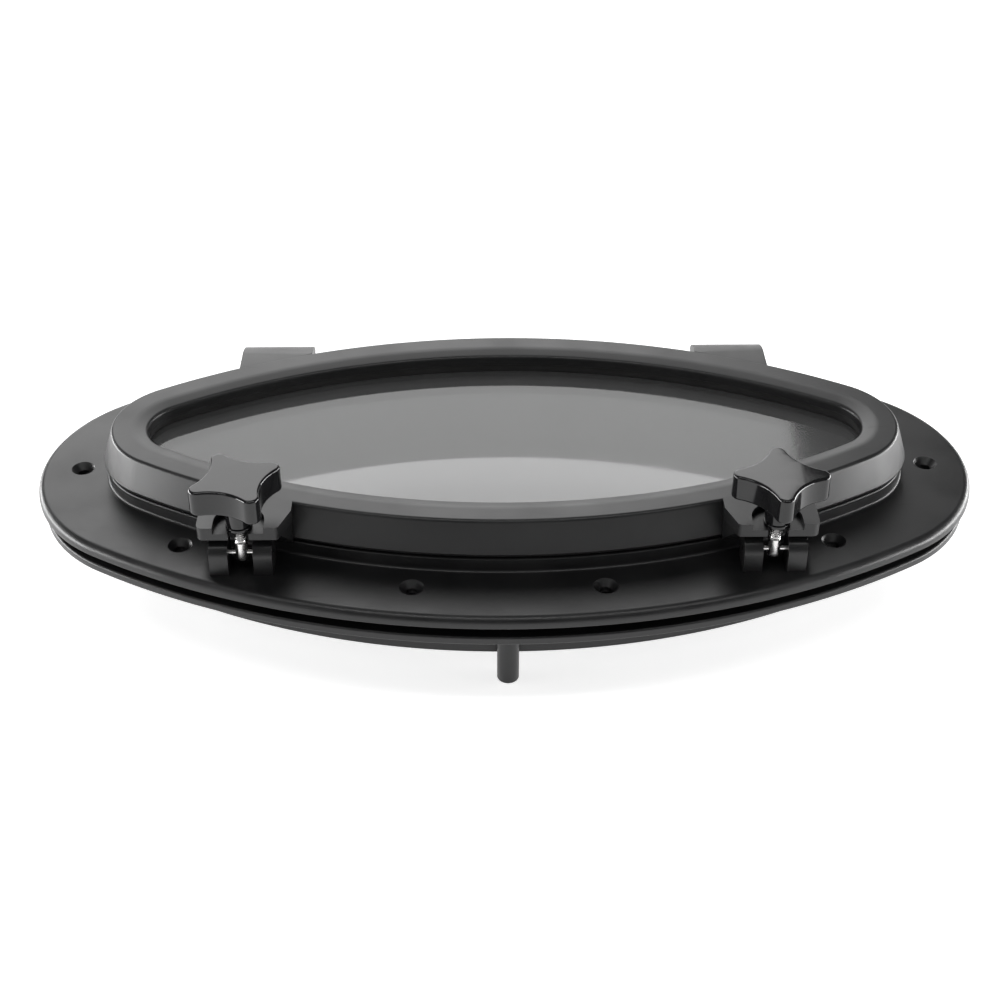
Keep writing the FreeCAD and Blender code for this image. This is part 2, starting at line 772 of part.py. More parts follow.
def seat_relief_profile(sketch):
    """Draws what the front of a dog's seat loses, so that the washer turns about the pin clear of it."""
    y, pin_level = value_of("dims.dog_y"), value_of("dims.dog_pin_level")
    radius = value_of("dims.seat_level - dims.dog_pin_level - dims.seat_relief")
    front = value_of("dims.fork_front_y - dims.overcut")
    top = value_of("dims.crest_level + dims.overcut")
    turn = math.acos((front - y) / radius)
    ring = Part.Circle(FreeCAD.Vector(y, pin_level, 0), FreeCAD.Vector(0, 0, 1), radius)
    low = FreeCAD.Vector(front, pin_level + radius * math.sin(turn), 0)
    points = [low, FreeCAD.Vector(front, top, 0), FreeCAD.Vector(y, top, 0)]
    sketch.addGeometry(Part.ArcOfCircle(ring, math.pi / 2, turn), False)
    sketch.addGeometry(Part.LineSegment(points[0], points[1]), False)
    sketch.addGeometry(Part.LineSegment(points[1], points[2]), False)
    sketch.addGeometry(Part.LineSegment(points[2], FreeCAD.Vector(y, pin_level + radius, 0)), False)
    for i in range(4):
        sketch.addConstraint(Sketcher.Constraint("Coincident", i, 2, (i + 1) % 4, 1))
    fix_point(sketch, 0, 3, "dims.dog_y", "dims.dog_pin_level")
    fix_point(sketch, 2, 1, "dims.fork_front_y - dims.overcut", "dims.crest_level + dims.overcut")
    fix_point(sketch, 3, 1, "dims.dog_y", "dims.crest_level + dims.overcut")
    sketch.addConstraint(Sketcher.Constraint("Vertical", 1))
    sketch.addConstraint(Sketcher.Constraint("Vertical", 3))
    datum = sketch.addConstraint(Sketcher.Constraint("Radius", 0, radius))
    sketch.setExpression(
        f"Constraints[{datum}]", "dims.seat_level - dims.dog_pin_level - dims.seat_relief"
    )


def open_channel(name, half_width, floor):
    """A cut from the dog's axis out past the fork's front, down to a floor, or right through."""
    sketch = new_sketch(leaf_frame, f"{name}_outline", "XY_Plane", "dims.crest_level + dims.overcut")
    polygon(
        sketch,
        [
            (f"dims.dog_x - {half_width}", "dims.dog_y"),
            (f"dims.dog_x - {half_width}", "dims.fork_front_y - dims.overcut"),
            (f"dims.dog_x + {half_width}", "dims.fork_front_y - dims.overcut"),
            (f"dims.dog_x + {half_width}", "dims.dog_y"),
        ],
    )
    depth = f"dims.crest_level + dims.overcut - {floor}" if floor else None
    return extrude(leaf_frame, "Pocket", name, sketch, depth)


dog_place = [("dims.dog_x", "dims.dog_y")]
above_crest = "dims.crest_level + dims.overcut"
SEAT_DEPTH = "dims.crest_level + dims.overcut - dims.seat_level"
fork_cuts = [
    drill(leaf_frame, "seat", dog_place, "dims.seat_radius", above_crest, SEAT_DEPTH),
    open_channel("seat_mouth", "dims.seat_radius", "dims.seat_level"),
    drill(leaf_frame, "slot_end", dog_place, "dims.slot_width / 2", above_crest),
    open_channel("slot_mouth", "(dims.slot_width / 2)", None),
    across_x(
        leaf_frame,
        "Pocket",
        "seat_relief_cut",
        seat_relief_profile,
        "dims.dog_x",
        "2 * dims.seat_radius",
    ),
]
mirror(leaf_frame, "fork_cuts_mirrored", fork_cuts, "YZ_Plane")

screw_places = spread_round("dims.screw_inset", "dims.screw_inner_x", "dims.screw_outer_x")
drill(
    leaf_frame,
    "screw_bores",
    screw_places,
    "dims.screw_radius",
    "dims.retainer_seat_level",
    length="dims.screw_top - dims.retainer_seat_level",
    upward=True,
)

front_corners = [
    straight_edge_near(sign * size(x), size("fork_front_y"))
    for sign in (-1, 1)
    for x in ("fork_outer_x", "fork_front_inner_x")
]
round_edges(leaf_frame, "fork_corners", "dims.fork_corner", lambda e: any(t(e) for t in front_corners))
tab_edge = level_edge_along_x(size("tab_top_y"), size("crest_level"), size("tab_width"))
round_edges(leaf_frame, "tab_edges", "dims.tab_round", tab_edge)

# ---- glass, its bed, the retainer ring and its screws, and the weather seal ----

glass_pane = new_body("glass_pane")
pane_outline = new_sketch(glass_pane, "pane_outline", "XY_Plane", "dims.pane_bottom")
oval_outline(pane_outline, "dims.pane_inset")
extrude(glass_pane, "Pad", "pane", pane_outline, "dims.pane_thick")

PANE_TOP = "dims.pane_bottom + dims.pane_thick"
glass_bed = oval_ring(
    "glass_bed",
    [
        ("dims.bed_inset", PANE_TOP),
        ("dims.bed_inset", "dims.lip_level"),
        ("dims.bed_bore_inset", "dims.lip_level"),
        ("dims.bed_bore_inset", PANE_TOP),
    ],
)

glass_retainer = oval_ring(
    "glass_retainer",
    [
        ("dims.retainer_inset", "dims.retainer_bottom"),
        ("dims.retainer_inset", "dims.pane_bottom"),
        ("dims.retainer_bore_inset", "dims.pane_bottom"),
        ("dims.retainer_bore_inset", "dims.retainer_bottom"),
    ],
)
drill(glass_retainer, "retainer_holes", screw_places, "dims.screw_radius + 0.1", "dims.pane_bottom")

leaf_seal = oval_ring(
    "leaf_seal",
    [
        ("dims.seal_inset", "dims.coaming_top"),
        ("dims.seal_inset", "dims.seal_groove_level"),
        ("dims.seal_bore_inset", "dims.seal_groove_level"),
        ("dims.seal_bore_inset", "dims.coaming_top"),
    ],
)

screws = []
for number, (x, y) in enumerate(screw_places, start=1):
    shank = doc.addObject("Part::Cylinder", f"screw_{number}_shank")
    shank.setExpression("Radius", "dims.screw_radius")
    shank.setExpression("Height", "dims.screw_top - dims.retainer_bottom")
    head = doc.addObject("Part::Cone", f"screw_{number}_head")
    head.setExpression("Radius1", "dims.screw_head_radius - 0.5")
    head.setExpression("Radius2", "dims.screw_head_radius")
    head.setExpression("Height", "dims.screw_head_height")
    head.setExpression("Placement.Base.z", "-dims.screw_head_height")
    screw = doc.addObject("Part::MultiFuse", f"screw_{number}")
    screw.Shapes = [shank, head]
    screw.setExpression("Placement.Base.x", x)
    if y:
        screw.setExpression("Placement.Base.y", y)
    screw.setExpression("Placement.Base.z", "dims.retainer_bottom")
    screws.append(screw)
retainer_screws = doc.addObject("Part::Compound", "retainer_screws")
retainer_screws.Links = screws

# ---- pins: a plain pin through each pair of lugs ----

for fitting, level in (("dog", "dims.dog_pin_level"), ("hinge", "dims.hinge_level")):
    for side, sign in (("left", "-"), ("right", "")):
        pin = doc.addObject("Part::Cylinder", f"{fitting}_pin_{side}")
        pin.setExpression("Radius", "dims.pin_radius")
        pin.setExpression("Height", PIN_LENGTH)
        pin.Placement.Rotation = FreeCAD.Rotation(FreeCAD.Vector(0, 1, 0), 90)
        pin.setExpression("Placement.Base.x", f"{sign}dims.{fitting}_x - ({PIN_LENGTH}) / 2")
        pin.setExpression("Placement.Base.y", f"dims.{fitting}_y")
        pin.setExpression("Placement.Base.z", level)

# ---- the two dogs, each of a swing bolt, a washer, a star knob and its threaded insert ----

WASHER_TOP = "dims.seat_level + dims.washer_thick"
KNOB_TOP = "(dims.hub_height + dims.knob_thick)"
# how far each knob happens to be turned, in degrees
KNOB_TURN = {"left": 29.0, "right": -2.0}


def put_on_dog(body, sign, level, turn=0.0):
    body.Placement.Rotation = FreeCAD.Rotation(FreeCAD.Vector(0, 0, 1), turn)
    body.setExpression("Placement.Base.x", f"{sign}dims.dog_x")
    body.setExpression("Placement.Base.y", "dims.dog_y")
    body.setExpression("Placement.Base.z", level)


def swing_bolt(label, sign):
    """A round bolt whose foot is bored across for the pin. Its own origin is on the pin's axis."""
    body = new_body(label)
    foot = "dims.bolt_bottom - dims.dog_pin_level"
    top = "dims.bolt_top - dims.dog_pin_level"
    chamfer = "0.8"
    turned(
        body,
        f"{label}_shank",
        [
            (0, foot),
            ("dims.bolt_radius", foot),
            ("dims.bolt_radius", f"{top} - {chamfer}"),
            (f"dims.bolt_radius - {chamfer}", top),
            (0, top),
        ],
    )
    sketch = new_sketch(body, f"{label}_eye_outline", "YZ_Plane")
    circle(sketch, 0, 0, "dims.pin_radius + dims.pin_clearance")
    extrude(body, "Pocket", f"{label}_eye", sketch, "4 * dims.bolt_radius", midplane=True)
    put_on_dog(body, sign, "dims.dog_pin_level")


def washer(label, sign):
    body = new_body(label)
    turned(
        body,
        f"{label}_ring",
        [
            ("dims.washer_bore_radius", 0),
            ("dims.washer_radius", 0),
            ("dims.washer_radius", "dims.washer_thick"),
            ("dims.washer_bore_radius", "dims.washer_thick"),
        ],
    )
    put_on_dog(body, sign, "dims.seat_level")


def star_knob(label, sign, turn):
    """A four-lobed star on a conical hub, with a blind bore for the insert. Its origin is the hub's foot."""
    body = new_body(label)
    disc = new_sketch(body, f"{label}_disc_outline", "XY_Plane", "dims.hub_height")
    circle(disc, 0, 0, "dims.knob_tip_reach")
    extrude(body, "Pad", f"{label}_disc", disc, "dims.knob_thick")
    # the valley's arc is tangent to the round tips on each side of it
    tip = "(dims.knob_tip_reach - dims.knob_tip_radius)"
    valley = "dims.knob_valley_reach"
    arc_radius = (
        f"(({tip}^2 + {valley}^2 - sqrt(2) * {tip} * {valley} - dims.knob_tip_radius^2)"
        f" / (2 * dims.knob_tip_radius + sqrt(2) * {tip} - 2 * {valley}))"
    )
    scoop = new_sketch(body, f"{label}_valley_outline", "XY_Plane", f"{KNOB_TOP} + dims.overcut")
    place = f"(({valley} + {arc_radius}) / sqrt(2))"
    circle(scoop, place, place, arc_radius)
    cut = extrude(body, "Pocket", f"{label}_valley", scoop, "dims.knob_thick + 2 * dims.overcut")
    around = body.newObject("PartDesign::PolarPattern", f"{label}_valleys")
    around.Originals = [cut]
    around.Axis = (scoop, ["N_Axis"])
    around.Angle = 360
    around.Occurrences = 4
    body.Tip = around
    doc.recompute()
    round_edges(body, f"{label}_tips", "dims.knob_tip_radius * 0.7", upright_at_rim)
    round_edges(body, f"{label}_top_edge", "dims.knob_bevel", edge_on_knob_top)
    turned(
        body,
        f"{label}_hub",
        [
            (0, 0),
            ("dims.hub_radius", 0),
            ("dims.hub_top_radius", "dims.hub_height + dims.overcut"),
            (0, "dims.hub_height + dims.overcut"),
        ],
    )
    turned(
        body,
        f"{label}_bore",
        [
            (0, "-dims.overcut"),
            ("dims.insert_radius", "-dims.overcut"),
            ("dims.insert_radius", "dims.insert_height"),
            ("dims.insert_bore_radius", "dims.insert_height"),
            ("dims.insert_bore_radius", "dims.knob_bore_height"),
            (0, "dims.knob_bore_height"),
        ],
        "Groove",
    )
    put_on_dog(body, sign, WASHER_TOP, turn)


def upright_at_rim(edge):
    """The lobes' sharp upright corners."""
    if not isinstance(edge.Curve, Part.Line) or len(edge.Vertexes) != 2:
        return False
    a, b = (v.Point for v in edge.Vertexes)
    upright = math.hypot(a.x - b.x, a.y - b.y) < 0.01
    return upright and abs(math.hypot(a.x, a.y) - size("knob_tip_reach")) < 0.05


def edge_on_knob_top(edge):
    top = size("hub_height") + size("knob_thick")
    return all(abs(v.Point.z - top) < 0.01 for v in edge.Vertexes)


def threaded_insert(label, sign):
    body = new_body(label)
    turned(
        body,
        f"{label}_sleeve",
        [
            ("dims.insert_bore_radius", 0),
            ("dims.insert_radius", 0),
            ("dims.insert_radius", "dims.insert_height"),
            ("dims.insert_bore_radius", "dims.insert_height"),
        ],
    )
    put_on_dog(body, sign, WASHER_TOP)


for side, sign in (("left", "-"), ("right", "")):
    swing_bolt(f"swing_bolt_{side}", sign)
    washer(f"thrust_washer_{side}", sign)
    star_knob(f"star_knob_{side}", sign, KNOB_TURN[side])
    threaded_insert(f"knob_insert_{side}", sign)

# ---- check everything, then write one file for each sub-part ----

NODES = [
    "main_frame",
    "clamp_ring",
    "drain_tube",
    "leaf_frame",
    "glass_pane",
    "glass_bed",
    "glass_retainer",
    "retainer_screws",
    "leaf_seal",
]
for side in ("left", "right"):
    NODES += [f"dog_pin_{side}", f"hinge_pin_{side}", f"swing_bolt_{side}"]
    NODES += [f"thrust_washer_{side}", f"star_knob_{side}", f"knob_insert_{side}"]

doc.recompute()
for item in doc.Objects:
    if {"Invalid", "Error"} & set(item.State):
        raise RuntimeError(f"{item.Name} did not recompute: {item.State}")

os.makedirs("parts", exist_ok=True)
for node in NODES:
    item = doc.getObject(node)
    item.Label = node
    shape = item.Shape
    if shape.isNull() or not shape.isValid():
        raise RuntimeError(f"{node} has no valid shape")
    expected = len(screws) if node == "retainer_screws" else 1
    if len(shape.Solids) != expected:
        raise RuntimeError(f"{node} has {len(shape.Solids)} solids, not {expected}")
    shape.exportStep(f"parts/{node}.step")
    box = shape.BoundBox
    low = f"{box.XMin:8.2f} {box.YMin:8.2f} {box.ZMin:8.2f}"
    high = f"{box.XMax:8.2f} {box.YMax:8.2f} {box.ZMax:8.2f}"
    print(f"{node:22s} {shape.Volume:12.1f} mm3   {low}  to {high}")
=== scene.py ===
import bpy
import math

import bmesh
from mathutils import Matrix, Vector


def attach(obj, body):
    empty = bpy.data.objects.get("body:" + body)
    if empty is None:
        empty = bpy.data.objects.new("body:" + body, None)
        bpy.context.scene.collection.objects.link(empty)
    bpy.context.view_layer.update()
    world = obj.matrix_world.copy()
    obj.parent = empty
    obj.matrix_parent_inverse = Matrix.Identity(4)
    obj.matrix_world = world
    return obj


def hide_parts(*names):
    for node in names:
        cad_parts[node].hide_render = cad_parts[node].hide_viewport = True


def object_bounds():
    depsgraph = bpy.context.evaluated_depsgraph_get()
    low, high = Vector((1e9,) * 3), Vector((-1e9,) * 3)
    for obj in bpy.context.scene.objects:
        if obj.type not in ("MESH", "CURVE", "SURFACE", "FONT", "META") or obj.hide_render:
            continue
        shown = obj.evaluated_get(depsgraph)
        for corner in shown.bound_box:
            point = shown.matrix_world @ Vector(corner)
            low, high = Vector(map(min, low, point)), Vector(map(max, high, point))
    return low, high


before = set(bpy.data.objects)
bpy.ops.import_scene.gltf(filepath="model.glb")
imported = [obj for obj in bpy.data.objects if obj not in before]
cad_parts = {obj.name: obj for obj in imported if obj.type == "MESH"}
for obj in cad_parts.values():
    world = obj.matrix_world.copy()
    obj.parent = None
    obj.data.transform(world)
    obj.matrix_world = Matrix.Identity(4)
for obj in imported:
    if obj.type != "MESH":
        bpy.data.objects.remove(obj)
cad_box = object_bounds()
MM = 0.001

# ---- the oval that every ring follows, in millimetres ----

HALF_LENGTH, HALF_WIDTH, END_RADIUS = 220.0, 115.6, 73.1
END_X = HALF_LENGTH - END_RADIUS
SIDE_RADIUS = (END_X**2 + HALF_WIDTH**2 - END_RADIUS**2) / (2 * (HALF_WIDTH - END_RADIUS))
SIDE_Y = SIDE_RADIUS - HALF_WIDTH
END_TURN = math.atan2(SIDE_Y, END_X)
END_STEPS, SIDE_STEPS = 48, 64

# where the fittings stand
DOG_X, DOG_Y, DOG_PIN_Z = 116.0, -77.5, 14.1
HINGE_X, HINGE_Y, HINGE_Z = 112.3, 86.5, 11.3
LUG_WIDTH, LUG_GAP = 8.2, 11.0
DOG_REACH, HINGE_REACH = 6.6, 5.5
PIN_RADIUS, PIN_BORE = 1.5, 1.55
DRAIN_Y, DRAIN_RADIUS, DRAIN_BORE = -85.0, 5.0, 3.4
SIDES = (("left", -1), ("right", 1))

# insets, measured inward from the flange's outer edge
FIXING_INSET, SCREW_INSET = 20.0, 43.8
UPSTAND_INSET, SPIGOT_INSET, PORT_INSET = 33.0, 36.8, 40.0
LEAF_INSET, PANE_INSET, OPENING_INSET = 31.3, 47.0, 53.5

# levels, measured up from the flange's underside
SPIGOT_END = -43.5
FLANGE_TOP, UPSTAND_TOP = 5.5, 12.5
FOOT, CREST = 13.8, 30.4
GROOVE_TOP = 17.0
RETAINER_FOOT, PANE_BOTTOM, PANE_TOP, LIP_UNDERSIDE = 11.8, 15.0, 20.0, 24.0
WASHER_SEAT, WASHER_TOP = 27.4, 29.0
KNOB_FOOT, KNOB_TOP = 41.2, 53.2


def oval_stations():
    """(centre, outward direction, arc radius) at steps all round the oval, anticlockwise from above."""
    arcs = (
        ((END_X, 0), -END_TURN, END_TURN, END_RADIUS, END_STEPS),
        ((0, -SIDE_Y), END_TURN, math.pi - END_TURN, SIDE_RADIUS, SIDE_STEPS),
        ((-END_X, 0), math.pi - END_TURN, math.pi + END_TURN, END_RADIUS, END_STEPS),
        ((0, SIDE_Y), math.pi + END_TURN, 2 * math.pi - END_TURN, SIDE_RADIUS, SIDE_STEPS),
    )
    stations = []
    for centre, start, end, radius, steps in arcs:
        for i in range(steps):
            angle = start + (end - start) * i / steps
            stations.append((Vector(centre), Vector((math.cos(angle), math.sin(angle))), radius))
    return stations


STATIONS = oval_stations()


def side_y(x, inset, side):
    """Y on the long side of the oval at x; side is -1 in front and 1 behind."""
    return side * (math.sqrt((SIDE_RADIUS - inset) ** 2 - x**2) - SIDE_Y)


def places_round(inset, distances):
    """Places on both long sides, left and right at each distance, and one place at each end."""
    places = []
    for x in distances:
        for sx in (-1, 1):
            for side in (-1, 1):
                places.append((sx * x, side_y(x, inset, side)))
    places += [(-(HALF_LENGTH - inset), 0.0), (HALF_LENGTH - inset, 0.0)]
    return places


FIXING_PLACES = places_round(FIXING_INSET, (42.0, 146.0))
SCREW_PLACES = places_round(SCREW_INSET, (50.0, 115.0))


# ---- mesh building ----


def rounded(corners, steps=5):
    """A closed outline whose corners (x, y, radius) are rounded where the radius isn't 0."""
    outline = []
    count = len(corners)
    for i, (x, y, radius) in enumerate(corners):
        here = Vector((x, y))
        if radius == 0:
            outline.append(here)
            continue
        back = (Vector(corners[i - 1][:2]) - here).normalized()
        ahead = (Vector(corners[(i + 1) % count][:2]) - here).normalized()
        half = back.angle(ahead) / 2
        centre = here + (back + ahead).normalized() * radius / math.sin(half)
        start = here + back * radius / math.tan(half) - centre
        turn = start.angle_signed(here + ahead * radius / math.tan(half) - centre)
        for k in range(steps + 1):
            a = -turn * k / steps
            spun = Vector((
                start.x * math.cos(a) - start.y * math.sin(a),
                start.x * math.sin(a) + start.y * math.cos(a),
            ))
            outline.append(centre + spun)
    return outline


def arc(centre, radius, start, end, steps):
    """Points on an arc between two angles, both ends included."""
    angles = [start + (end - start) * k / steps for k in range(steps + 1)]
    return [(centre[0] + radius * math.cos(a), centre[1] + radius * math.sin(a)) for a in angles]


def circle(centre, radius, steps=32):
    return arc(centre, radius, 0, 2 * math.pi, steps)[:-1]


def mesh_object(name, points, faces):
    """A mesh object from points in millimetres, with its normals facing out."""
    mesh = bpy.data.meshes.new(name)
    mesh.from_pydata([Vector(p) * MM for p in points], [], faces)
    work = bmesh.new()
    work.from_mesh(mesh)
    bmesh.ops.recalc_face_normals(work, faces=work.faces)
    work.to_mesh(mesh)
    work.free()
    obj = bpy.data.objects.new(name, mesh)
    bpy.context.scene.collection.objects.link(obj)
    return obj


def grid_faces(rows, columns, close_rows):
    """Quads between rows of points; each row is a closed loop."""
    faces = []
    for r in range(rows if close_rows else rows - 1):
        for c in range(columns):
            after = (c + 1) % columns
            below = (r + 1) % rows
            faces.append((r * columns + c, r * columns + after, below * columns + after, below * columns + c))
    return faces


def oval_sweep(name, section):
    """A ring: the section of (inset, level, corner radius) carried all round the oval."""
    outline = rounded(section)
    points = []
    for centre, out, radius in STATIONS:
        for inset, level in outline:
            flat = centre + out * (radius - inset)
            points.append((flat.x, flat.y, level))
    return mesh_object(name, points, grid_faces(len(STATIONS), len(outline), True))


def loft(name, loops):
    """A closed solid through loops of 3-D points. Its caps are triangulated, because they needn't be flat."""
    columns = len(loops[0])
    points = [p for loop in loops for p in loop]
    faces = grid_faces(len(loops), columns, False)
    faces.append(tuple(range(columns)))
    faces.append(tuple(range((len(loops) - 1) * columns, len(loops) * columns)))
    solid = mesh_object(name, points, faces)
    if columns > 4:
        work = bmesh.new()
        work.from_mesh(solid.data)
        bmesh.ops.triangulate(work, faces=[f for f in work.faces if len(f.verts) > 4])
        work.to_mesh(solid.data)
        work.free()
    return solid


def turned(name, profile, x=0.0, y=0.0, steps=64):
    """A solid of revolution about the upright line through x, y. The profile is (radius, level, corner)."""
    outline = rounded(profile)
    rows = [[(px, py, level) for px, py in circle((x, y), radius, steps)] for radius, level in outline]
    if min(p[0] for p in profile) > 0:
        points = [p for ring in rows for p in ring]
        return mesh_object(name, points, grid_faces(len(rows), steps, True))
    return loft(name, [ring for ring, (radius, _) in zip(rows, outline) if radius > 1e-6])


def along_x(name, outline, x_middle, width):
    """An outline of (y, z) given a width along X."""
    ends = (x_middle - width / 2, x_middle + width / 2)
    return loft(name, [[(x, y, z) for y, z in outline] for x in ends])


def upright(name, outline, low, high):
    """An outline of (x, y) carried up from one level to another."""
    return loft(name, [[(x, y, z) for x, y in outline] for z in (low, high)])


def drills(name, places, radius, low, high, steps=20):
    """Plain round cutters standing at the places."""
    profile = [(0, low, 0), (radius, low, 0), (radius, high, 0), (0, high, 0)]
    return [turned(name, profile, x, y, steps) for x, y in places]


def settle(obj):
    """Put what the modifiers make into the object's own mesh."""
    view = bpy.context.evaluated_depsgraph_get()
    mesh = bpy.data.meshes.new_from_object(obj.evaluated_get(view))
    obj.modifiers.clear()
    obj.data = mesh
    return obj


def combine(target, tools, operation="UNION"):
    """Add the tools to the target, or cut them away, and remove them."""
    for tool in tools:
        step = target.modifiers.new("combine", "BOOLEAN")
        step.solver = "EXACT"
        step.operation = operation
        step.object = tool
        bpy.context.view_layer.update()
        settle(target)
        bpy.data.objects.remove(tool)
    return target


def bevelled(obj, width, segments=3, angle=40):
    """Round the object's sharp edges."""
    step = obj.modifiers.new("edges", "BEVEL")
    step.width = width * MM
    step.segments = segments
    step.angle_limit = math.radians(angle)
    step.harden_normals = False
    bpy.context.view_layer.update()
    return settle(obj)


def mirrored(obj):
    """A copy of the object across the YZ plane."""
    twin = obj.copy()
    twin.data = obj.data.copy()
    twin.data.transform(Matrix.Scale(-1, 4, (1, 0, 0)))
    twin.data.flip_normals()
    bpy.context.scene.collection.objects.link(twin)
    return twin


SHARP_ANGLE = math.radians(32)


def finish_piece(obj, body, node, material):
    """Shade and paint a piece, hang it on its body's empty, and hide the CAD node that it stands in for."""
    obj.data.shade_smooth()
    obj.data.set_sharp_from_angle(angle=SHARP_ANGLE)
    weigh = obj.modifiers.new("normals", "WEIGHTED_NORMAL")
    weigh.keep_sharp = True
    obj.data.materials.clear()
    obj.data.materials.append(material)
    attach(obj, body)
    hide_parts(node)
    return obj


# ---- materials ----


class Nodes:
    """A material's node tree, with short calls for the nodes used here."""

    def __init__(self, name):
        self.material = bpy.data.materials.new(name)
        self.material.use_nodes = True
        self.tree = self.material.node_tree
        self.shader = self.tree.nodes["Principled BSDF"]
        self.place = self.add("ShaderNodeTexCoord").outputs["Object"]

    def add(self, kind, **settings):
        node = self.tree.nodes.new(kind)
        for key, value in settings.items():
            setattr(node, key, value)
        return node

    def link(self, source, target):
        self.tree.links.new(source, target)

    def noise(self, size_mm, detail=3.0, roughness=0.5, stretch=(1, 1, 1)):
        """Noise whose features are about size_mm across."""
        mapping = self.add("ShaderNodeMapping")
        mapping.inputs["Scale"].default_value = stretch
        self.link(self.place, mapping.inputs["Vector"])
        node = self.add("ShaderNodeTexNoise")
        node.inputs["Scale"].default_value = 1 / (size_mm * MM)
        node.inputs["Detail"].default_value = detail
        node.inputs["Roughness"].default_value = roughness
        self.link(mapping.outputs["Vector"], node.inputs["Vector"])
        return node.outputs["Fac"]

    def spread(self, source, low, high, from_low=0.3, from_high=0.7):
        """The source's middle range stretched to low..high."""
        node = self.add("ShaderNodeMapRange")
        node.inputs["From Min"].default_value = from_low
        node.inputs["From Max"].default_value = from_high
        node.inputs["To Min"].default_value = low
        node.inputs["To Max"].default_value = high
        self.link(source, node.inputs["Value"])
        return node.outputs["Result"]

    def sum_of(self, a, b):
        node = self.add("ShaderNodeMath", operation="ADD")
        self.link(a, node.inputs[0])
        self.link(b, node.inputs[1])
        return node.outputs["Value"]

    def blend(self, factor, dark, light):
        """A colour between dark and light, by a factor from 0 to 1."""
        ramp = self.add("ShaderNodeValToRGB")
        ramp.color_ramp.elements[0].color = (*dark, 1)
        ramp.color_ramp.elements[1].color = (*light, 1)
        self.link(factor, ramp.inputs["Fac"])
        return ramp.outputs["Color"]

    def bump(self, height, depth_mm, strength=1.0, after=None):
        node = self.add("ShaderNodeBump")
        node.inputs["Strength"].default_value = strength
        node.inputs["Distance"].default_value = depth_mm * MM
        self.link(height, node.inputs["Height"])
        if after:
            self.link(after, node.inputs["Normal"])
        return node.outputs["Normal"]


def plastic(name, dark, light, rough, grain_mm, grain_depth, scuffs):
    """Moulded black plastic: fine grain, uneven sheen, and a few long faint rubs."""
    n = Nodes(name)
    cloud = n.noise(22, 4)
    n.link(n.blend(n.spread(cloud, 0, 1), dark, light), n.shader.inputs["Base Color"])
    rubs = n.spread(n.noise(2.4, 5, 0.7, (0.06, 1, 1)), 0, scuffs, 0.60, 0.75)
    n.link(n.sum_of(n.spread(cloud, *rough), rubs), n.shader.inputs["Roughness"])
    grain = n.bump(n.noise(grain_mm, 2), grain_depth)
    n.link(n.bump(n.noise(26, 2), 0.05, 0.6, grain), n.shader.inputs["Normal"])
    n.shader.inputs["IOR"].default_value = 1.5
    return n.material


def metal(name, dark, light, rough, lines):
    """Turned metal: a patchy polish and fine lines, drawn out by how much they are stretched."""
    n = Nodes(name)
    n.shader.inputs["Metallic"].default_value = 1.0
    patch = n.noise(3.5, 4)
    n.link(n.blend(n.spread(patch, 0, 1), dark, light), n.shader.inputs["Base Color"])
    n.link(n.spread(patch, *rough), n.shader.inputs["Roughness"])
    n.link(n.bump(n.noise(0.25, 2, 0.5, lines), 0.006), n.shader.inputs["Normal"])
    return n.material


def glass(name):
    """Smoke-tinted glazing with a little haze in it and the faintest smears."""
    n = Nodes(name)
    n.shader.inputs["Transmission Weight"].default_value = 0.8
    n.shader.inputs["IOR"].default_value = 1.45
    n.shader.inputs["Specular IOR Level"].default_value = 0.25
    smears = n.noise(45, 4, 0.6, (1, 0.4, 1))
    tint = n.blend(n.spread(smears, 0, 1), (0.30, 0.302, 0.302), (0.325, 0.327, 0.327))
    n.link(tint, n.shader.inputs["Base Color"])
    n.link(n.spread(smears, 0.04, 0.09, 0.40, 0.75), n.shader.inputs["Roughness"])
    return n.material


def rubber(name):
    """Dull black rubber with a slightly uneven skin."""
    n = Nodes(name)
    cloud = n.noise(9, 4)
    shade = n.blend(n.spread(cloud, 0, 1), (0.006, 0.006, 0.006), (0.016, 0.016, 0.016))
    n.link(shade, n.shader.inputs["Base Color"])
    n.link(n.spread(cloud, 0.62, 0.82), n.shader.inputs["Roughness"])
    n.link(n.bump(n.noise(0.5, 3), 0.03), n.shader.inputs["Normal"])
    return n.material


BLACK = plastic(
    "moulded_plastic",
    dark=(0.006, 0.006, 0.0065),
    light=(0.010, 0.010, 0.0105),
    rough=(0.33, 0.43),
    grain_mm=0.55,
    grain_depth=0.022,
    scuffs=0.10,
)
GLOSS = plastic(
    "knob_plastic",
    dark=(0.005, 0.005, 0.0055),
    light=(0.009, 0.009, 0.0095),
    rough=(0.06, 0.12),
    grain_mm=0.8,
    grain_depth=0.001,
    scuffs=0.10,
)
STEEL = metal("stainless", (0.72, 0.71, 0.70), (0.86, 0.855, 0.85), (0.18, 0.32), (0.1, 0.1, 1))
BRASS = metal("brass", (0.55, 0.38, 0.14), (0.74, 0.55, 0.24), (0.20, 0.36), (0.1, 0.1, 1))
CLEAR = glass("clear_pane")
SOFT = rubber("black_rubber")


# ---- the fixed frame ----


def lug(name, x, y, pin_z, reach):
    """A lug on the flange: upright cheeks under a round head."""
    root = FLANGE_TOP - 1.0
    outline = [(y + reach, root), *arc((y, pin_z), reach, 0, math.pi, 24), (y - reach, root)]
    return bevelled(along_x(name, outline, x, LUG_WIDTH), 0.55)


